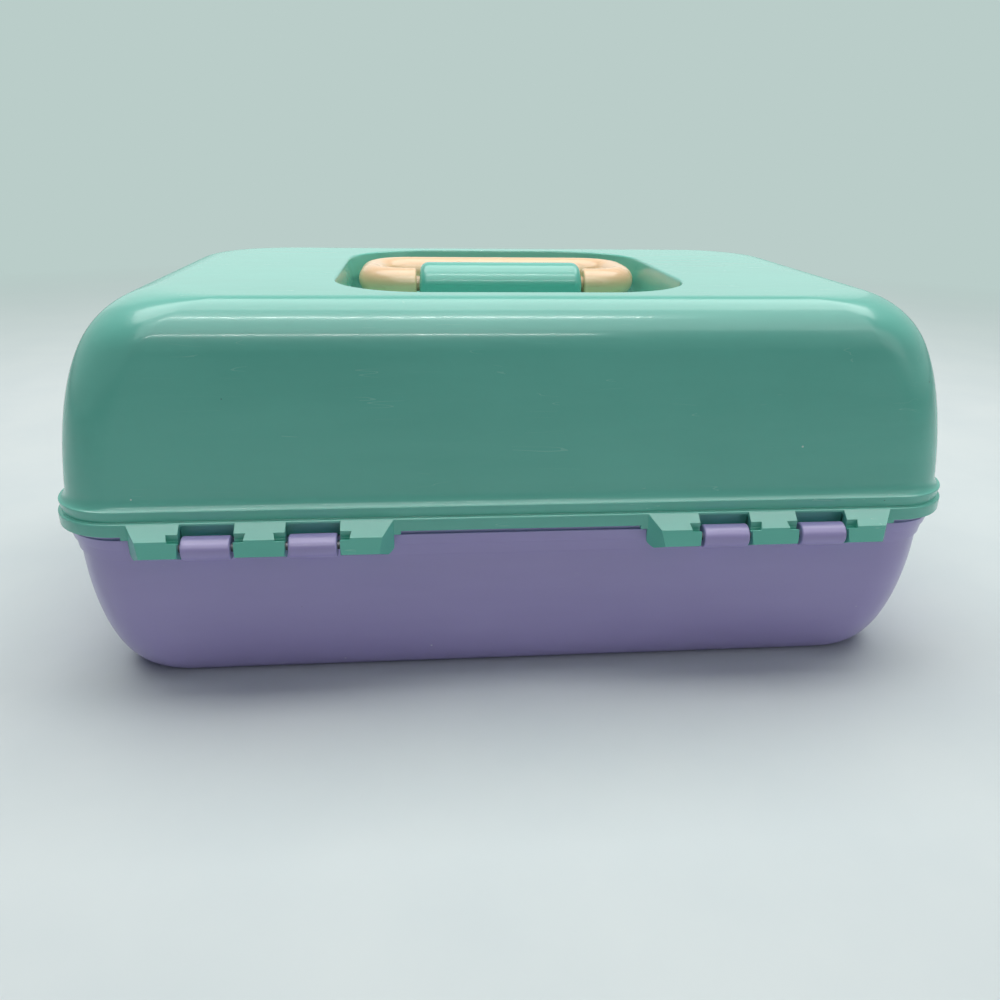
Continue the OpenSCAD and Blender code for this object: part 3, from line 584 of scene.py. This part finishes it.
def latch_ears():
    """The two ears that hold one latch's pin."""
    root_y = -RIM_B + 2.6
    section = [(root_y, LATCH_Z - EAR_R), (root_y, LATCH_Z + 6)]
    section += arc(LATCH_Y, LATCH_Z, EAR_R, 110, 270, 14)
    ears = []
    for x in (LATCH_X - LATCH_W / 2 - EAR_GAP - EAR_T, LATCH_X + LATCH_W / 2 + EAR_GAP):
        ears.append(bevel(prism("ear", "x", x, x + EAR_T, section), 0.4))
    return cut(join("ears", ears), [rod("bore", "x", 50, 130, LATCH_Y, LATCH_Z, EAR_BORE_R)])


def lid_inside():
    """The lift link's post and the mirror's two screw posts at one end of the lid."""
    parts = [rod("post", "x", 154.3, 160.6, *LINK_PIN, 3.6)]
    x, y = MIRROR_SCREW
    for side in (-1, 1):
        parts.append(rod("post", "z", MIRROR_BACK, CASE_H - WALL + 0.6, x, side * y, 4.0))
    return join("lid_inside", parts)


piece(lid_shell(), "lid", MINT, ["lid_shell"]).name = "lid_skin"
for make, name in ((lid_hinge, "lid_hinge_leaf"), (latch_ears, "latch_ears"),
                   (lid_inside, "lid_posts")):
    right = make()
    left = flipped(right, name + "_left")
    right.name = name + "_right"
    piece(right, "lid", MINT)
    piece(left, "lid", MINT)


# ---- base ----

def base_sides(t, steps=22):
    """Stations from under the belt down to the floor, at a depth t inside the outer face."""
    rows = []
    for i in range(steps + 1):
        u = math.pi / 2 * (1 - i / steps)
        inset = BASE_IN + BASE_DRAW * (1 - math.cos(u)) + t
        z = t + (WALL_TOP - t) * (1 - math.sin(u))
        rows.append((z, RIM_A - inset, RIM_B - inset, BASE_R - t, 0.0))
    return rows


def belt(z, inset, *size):
    return (z, RIM_A - inset, RIM_B - inset, RIM_R, 0.0) + size


def base_shell():
    """Base: underside and outside up to the tongue, then the inside back down."""
    under = base_sides(0)
    under[0] = under[0] + (0.8,)
    floor_edge = (0.0,) + tuple(v - 3 for v in under[0][1:4]) + (0.0,)
    ledge = [belt(WALL_TOP + 0.1, BASE_IN - 0.5, 0.25), belt(BELT_Z, BASE_IN - 0.9, 0.1),
             belt(BELT_Z + 0.1, BASE_IN - 1.3, 0.25), belt(SEAM_Z, LEDGE_IN, 0.5)]
    inner = BASE_IN + WALL
    tongue = [rim(SEAM_Z, TONGUE_IN, 0.2), rim(TONGUE_Z, TONGUE_IN, 0.4),
              (TONGUE_Z, RIM_A - inner, RIM_B - inner, BASE_R - WALL, 0.0, 0.4)]
    shell = loft("base", [floor_edge] + under + ledge + tongue + base_sides(WALL)[::-1])
    notches = []
    y0, y1 = LINK_PIN[0] - 6.5, LINK_PIN[0] + 23.5
    for x0, x1 in ((151.0, 164.0), (-164.0, -151.0)):
        corners = [(x0, y0), (x1, y0), (x1, y1), (x0, y1)]
        notches.append(prism("notch", "z", LID_Z + 0.3, TONGUE_Z + 0.3, corners))
    return cut(shell, [join("notches", notches)])


def base_fittings():
    """One hinge's base knuckles, one latch's catch and one end's arm posts."""
    parts = []
    root_y = RIM_B - BASE_IN
    for x in BASE_KNUCKLES:
        section = arc(HINGE_Y, HINGE_Z, KNUCKLE_R, -90, 180, 30)
        section += [(root_y, HINGE_Z - 0.7), (root_y, HINGE_Z - KNUCKLE_R)]
        parts.append(bevel(prism("knuckle", "x", x, x + BASE_KNUCKLE_W, section), 1.0, 40, 4))
    hinge = cut(join("hinge", parts), [rod("bore", "x", *HINGE_BORE, HINGE_Y, HINGE_Z, BORE_R)])
    root_y, top, out = -RIM_B + BASE_IN + 0.5, SEAM_Z - 1.2, -RIM_B - 0.8
    section = [(root_y, top), (out + 0.8, top), (out, top - 0.8), (out, top - 2.2),
               (out + 0.8, top - 3), (root_y, top - 3.4)]
    catch = prism("catch", "x", LATCH_X - CATCH_W / 2, LATCH_X + CATCH_W / 2, section)
    bevel(catch, 0.3)
    posts = [rod("post", "x", 150.6, 158.4, y, ARM_Z, 5.0) for y in (ARM_Y, ARM_Y - ARM_PITCH)]
    return join("base_fittings", [hinge, catch] + posts)


piece(base_shell(), "base", LAVENDER, ["base_shell"]).name = "base_skin"
right = base_fittings()
left = flipped(right, "base_fittings_left")
right.name = "base_fittings_right"
piece(right, "base", LAVENDER)
piece(left, "base", LAVENDER)


# ---- handle ----

def tube(name, path, r, sides=40, round_end=0.9):
    """A round bar along a flat path at the handle's height, with its end edges rounded."""
    pts = np.array(path, float)
    tangents = np.gradient(pts, axis=0)
    tangents /= np.linalg.norm(tangents, axis=1)[:, None]
    ends = []
    for i in (0, len(pts) - 1):
        rows = []
        for u in np.linspace(0, math.pi / 2, 5):
            shift = round_end * (1 - math.cos(u)) * (1 if i == 0 else -1)
            size = r - round_end * (1 - math.sin(u))
            rows.append((pts[i] + tangents[i] * shift, tangents[i], size))
        ends.append(rows)
    stations = [(pts[0], tangents[0], 0.5)] + ends[0]
    stations += [(p, t, r) for p, t in zip(pts[1:-1], tangents[1:-1])]
    stations += ends[1][::-1] + [(pts[-1], tangents[-1], 0.5)]
    points = []
    for p, t, q in stations:
        across = np.array((-t[1], t[0]))
        for k in range(sides):
            a = 2 * math.pi * k / sides
            side = across * q * math.cos(a)
            points.append((p[0] + side[0], p[1] + side[1], PIVOT_Z + q * math.sin(a)))
    return mesh_of(name, points, skin(len(stations), sides))


def handle():
    """The bar, bent to a loop that is open at the block, and its two pivot stubs."""
    near, far = -PIVOT_Y - BEND_R, -PIVOT_Y - REACH + BEND_R
    half = [(36.2, -PIVOT_Y), (38.5, -PIVOT_Y)] + arc(BAR_A, near, BEND_R, 90, 0, 14)
    half += arc(BAR_A, far, BEND_R, 0, -90, 14)
    path = half + [(-x, y) for x, y in half[::-1]]
    parts = [tube("bar", path, BAR_R)]
    for side in (1, -1):
        x0, x1 = sorted((side * STUB_X[0], side * STUB_X[1]))
        parts.append(rod("stub", "x", x0, x1, -PIVOT_Y, PIVOT_Z, STUB_R))
    return join("handle_bar", parts)


def handle_block():
    """A round-topped block whose edges at both ends are well rounded."""
    stations = []
    for u in np.linspace(0, math.pi / 2, 9):
        stations.append((BLOCK_A - BLOCK_EDGE * (1 - math.cos(u)),
                         BLOCK_R - BLOCK_EDGE * (1 - math.sin(u))))
    rows = [(-x, q) for x, q in stations[::-1]] + [(x, q) for x, q in stations]
    rows.sort(key=lambda row: row[0])
    points = []
    for x, q in rows:
        lean = BLOCK_LEAN * abs(x) / BLOCK_A
        for y, z in arc(-PIVOT_Y, PIVOT_Z, q, 0, 180, 28):
            drawn = lean * max(z - PIVOT_Z, 0) / BLOCK_R
            points.append((x - math.copysign(drawn, x), y, z))
        points += [(x, -PIVOT_Y - q, RECESS_FLOOR), (x, -PIVOT_Y + q, RECESS_FLOOR)]
    block = mesh_of("block", points, skin(len(rows), len(points) // len(rows)))
    bores = [rod("bore", "x", x - 7.2, x + 7.2, -PIVOT_Y, PIVOT_Z, STUB_R + 0.05)
             for x in (-28.8, 28.8)]
    return cut(block, [join("bores", bores)])


piece(handle(), "handle", PEACH, ["handle"])
piece(handle_block(), "lid", MINT, ["handle_block"])


# ---- trays ----

def cavity(x0, x1, y0, y1, z0, z1):
    """The space of one compartment, with a fillet round its floor."""
    a, b, yc = (x1 - x0) / 2, (y1 - y0) / 2, (y0 + y1) / 2
    rows = []
    for u in np.linspace(0, math.pi / 2, 5):
        inset = CELL_FILLET * (1 - math.sin(u))
        z = z0 + CELL_FILLET * (1 - math.cos(u))
        rows.append((z, a - inset, b - inset, CELL_R - inset, yc))
    tool = loft("cavity", rows + [(z1, a, b, CELL_R, yc)], 7)
    tool.data.transform(Matrix.Translation(((x0 + x1) / 2, 0, 0)))
    return tool


def cells(n, ya, yb):
    """A row of n compartments between two depths, measured from the tray's front face."""
    wide = (2 * TRAY_A - TRAY_WALL * (n + 1)) / n
    lefts = [-TRAY_A + TRAY_WALL + i * (wide + TRAY_WALL) for i in range(n)]
    return [(x, x + wide, ya - TRAY_FRONT, yb - TRAY_FRONT) for x in lefts]


def two_rows(depth, row, n_front, n_back):
    """A front row of a given depth, and a back row behind it."""
    split = TRAY_WALL + row
    return cells(n_front, TRAY_WALL, split) + cells(n_back, split + TRAY_WALL, depth - TRAY_WALL)


def tray(z, h, depth, pin, rows, grooves=()):
    """A tub with compartments, and four bosses for the arms' pins."""
    y, b = -TRAY_FRONT + depth / 2, depth / 2
    tub = loft("tray", [(z, TRAY_A - 4, b - 4, TRAY_R - 4, y), (z, TRAY_A, b, TRAY_R, y, 1.4),
                        (z + h, TRAY_A, b, TRAY_R, y)], 10)
    tools = [cavity(x0, x1, ya, yb, z + TRAY_WALL, z + h + 2) for x0, x1, ya, yb in rows]
    cut(tub, [join("cavities", tools)])
    if grooves:
        cut(tub, grooves)
    bevel(tub, 0.45, 40)
    bosses = []
    for py in (pin[0], pin[0] - ARM_PITCH):
        boss = bevel(rod("boss", "x", TRAY_A - 0.6, TRAY_A + 2, py, pin[1], BOSS_R), 0.35, 60)
        bosses.append(cut(boss, [rod("bore", "x", TRAY_A - 1, TRAY_A + 3, py, pin[1], BORE_R)]))
    right = join("bosses", bosses)
    left = flipped(right, "bosses_left")
    return join("tray", [tub, right, left])


def lower_tray():
    """The lower tray, with grooves in its front row for the two dividers."""
    grooves = []
    y0 = TRAY_WALL - GROOVE_D - TRAY_FRONT
    y1 = y0 + LOWER_ROW + 2 * GROOVE_D
    floor_z, above_z = LOWER_Z + TRAY_WALL + 0.05, LOWER_Z + LOWER_H + 4
    for x in (DIVIDER_X, -DIVIDER_X):
        x0, x1 = x - GROOVE_W / 2, x + GROOVE_W / 2
        corners = [(x0, y0), (x1, y0), (x1, y1), (x0, y1)]
        grooves.append(prism("groove", "z", floor_z, above_z, corners))
    rows = two_rows(LOWER_DEPTH, LOWER_ROW, 1, 2)
    return tray(LOWER_Z, LOWER_H, LOWER_DEPTH, LOWER_PIN, rows, grooves)


def upper_tray():
    rows = two_rows(UPPER_DEPTH, UPPER_ROW, 5, 3)
    return tray(UPPER_Z, UPPER_H, UPPER_DEPTH, UPPER_PIN, rows)


piece(lower_tray(), "lower_tray", MINT, ["lower_tray"]).name = "lower_tray_tub"
piece(upper_tray(), "upper_tray", MINT, ["upper_tray"]).name = "upper_tray_tub"


# ---- pieces whose CAD form only wants rounded edges ----

for node in ("latch_left", "latch_right"):
    refined(node, PEACH, 0.5)
for node in ("divider_left", "divider_right", "arm_front_left", "arm_front_right",
             "arm_rear_left", "arm_rear_right", "lift_link_left", "lift_link_right"):
    refined(node, PEACH, 0.3)
refined("mirror_frame", MINT, 0.5)
refined("mirror_glass", SILVERED, 0.2)
for node in ("hinge_pin_left", "hinge_pin_right"):
    refined(node, DARK_STEEL, 0.2)
for node in ("handle_screws", "latch_pin_left", "latch_pin_right", "mirror_screws",
             "base_arm_pins", "lower_tray_pins", "upper_tray_pins", "link_lid_pins",
             "link_arm_pins"):
    refined(node, STEEL, 0.2)


# ---- floor, light and camera ----

WALL_COLOUR = linear(186, 205, 201)


def floor():
    """A pale floor that passes into the background's colour far from the case."""
    me = bpy.data.meshes.new("floor")
    me.from_pydata([(-9, -9, 0), (9, -9, 0), (9, 9, 0), (-9, 9, 0)], [], [(0, 1, 2, 3)])
    ob = bpy.data.objects.new("floor", me)
    bpy.context.scene.collection.objects.link(ob)
    mat = bpy.data.materials.new("pale_floor")
    t = Tree(mat)
    shader = t.nt.nodes["Principled BSDF"]
    where = t.add("TexCoord").outputs["Object"]
    mottle = t.noise(where, 14.0, 4.0)
    tone = t.mix(t.span(mottle, 0.35, 0.7), linear(213, 221, 221), linear(208, 217, 218))
    t.put(shader.inputs["Base Color"], tone)
    shader.inputs["Roughness"].default_value = 0.5
    shader.inputs["Specular IOR Level"].default_value = 0.3
    distance = t.add("VectorMath", {0: where}, operation="LENGTH").outputs["Value"]
    seen = t.add("LightPath").outputs["Is Camera Ray"]
    far = t.maths("MULTIPLY", t.span(distance, 0.5, 1.3), seen)
    glow = t.add("Emission", {"Color": WALL_COLOUR, "Strength": 1.0})
    mixed = t.add("MixShader", {0: far, 1: shader.outputs[0], 2: glow.outputs[0]})
    t.put(t.nt.nodes["Material Output"].inputs["Surface"], mixed.outputs[0])
    me.materials.append(mat)


def world():
    """A faint even light, and the background's colour where it is seen or mirrored."""
    w = bpy.data.worlds.new("studio")
    bpy.context.scene.world = w
    t = Tree(w)
    ambient = t.nt.nodes["Background"]
    ambient.inputs["Color"].default_value = (0.90, 0.97, 1.0, 1)
    ambient.inputs["Strength"].default_value = 0.035
    shown = t.add("Background", {"Color": WALL_COLOUR, "Strength": 1.0})
    path = t.add("LightPath")
    which = t.maths("MAXIMUM", path.outputs["Is Glossy Ray"], path.outputs["Is Transmission Ray"])
    which = t.maths("MAXIMUM", path.outputs["Is Camera Ray"], which)
    mixed = t.add("MixShader", {0: which, 1: ambient.outputs[0], 2: shown.outputs[0]})
    t.put(t.nt.nodes["World Output"].inputs["Surface"], mixed.outputs[0])


def lamp(name, place, target, size, power):
    """A white area lamp at a place, turned towards a target."""
    data = bpy.data.lights.new(name, "AREA")
    data.shape, data.size, data.size_y = "RECTANGLE", size[0], size[1]
    data.energy = power
    ob = bpy.data.objects.new(name, data)
    bpy.context.scene.collection.objects.link(ob)
    ob.location = place
    ob.rotation_euler = (Vector(target) - Vector(place)).to_track_quat("-Z", "Y").to_euler()
    return ob


def camera():
    """The camera of the photograph, which looks from the hinge side, down on the case."""
    yaw, pitch, roll = -0.09274, 0.3903, -0.01552
    forward = np.array((-math.sin(yaw) * math.cos(pitch), math.cos(yaw) * math.cos(pitch),
                        -math.sin(pitch)))
    right = np.array((math.cos(yaw), math.sin(yaw), 0.0))
    down = np.cross(forward, right)
    right, down = (math.cos(roll) * right + math.sin(roll) * down,
                   -math.sin(roll) * right + math.cos(roll) * down)
    turn = np.array((-1, -1, 1))     # half a turn: the angles take the hinges to face -Y
    axes = np.array([right * turn, -down * turn, -forward * turn])
    data = bpy.data.cameras.new("camera")
    data.sensor_fit, data.sensor_width, data.lens = "HORIZONTAL", 36.0, 36.0 * 0.835
    data.clip_start = 0.02
    ob = bpy.data.objects.new("camera", data)
    bpy.context.scene.collection.objects.link(ob)
    placed = Matrix(axes.T.tolist()).to_4x4()
    placed.translation = Vector((0.0331, 0.3631, 0.1859))
    ob.matrix_world = placed
    bpy.context.scene.camera = ob


floor()
world()
lamp("overhead", (-0.05, -0.2, 1.2), (-0.05, -0.2, 0.1), (2.2, 0.9), 22.5)
lamp("back_wall", (0.0, -1.7, 0.75), (0, 0, 0.1), (2.6, 1.1), 2.6)
lamp("front_soft", (-0.2, 0.77, 1.25), (0, 0.085, 0.14), (2.2, 1.3), 2.1)
lamp("side_fill", (-0.9, 0.8, 0.5), (-0.1, 0.05, 0.08), (0.7, 0.6), 1.0)
glosses = [lamp("strip_near", (0.12, 0.58, 1.0), (0.12, 0, 0.1), (0.85, 0.012), 2.5),
           lamp("strip_far", (0.25, 1.86, 1.0), (0.25, 0, 0.1), (1.35, 0.02), 5.0),
           lamp("card", (0.0, 0.77, 1.25), (0, 0.085, 0.14), (2.2, 1.3), 17.0)]
for gloss in glosses:                # reflectors that show only as shine
    gloss.visible_diffuse = False
camera()
bpy.context.scene.view_settings.view_transform = "Standard"
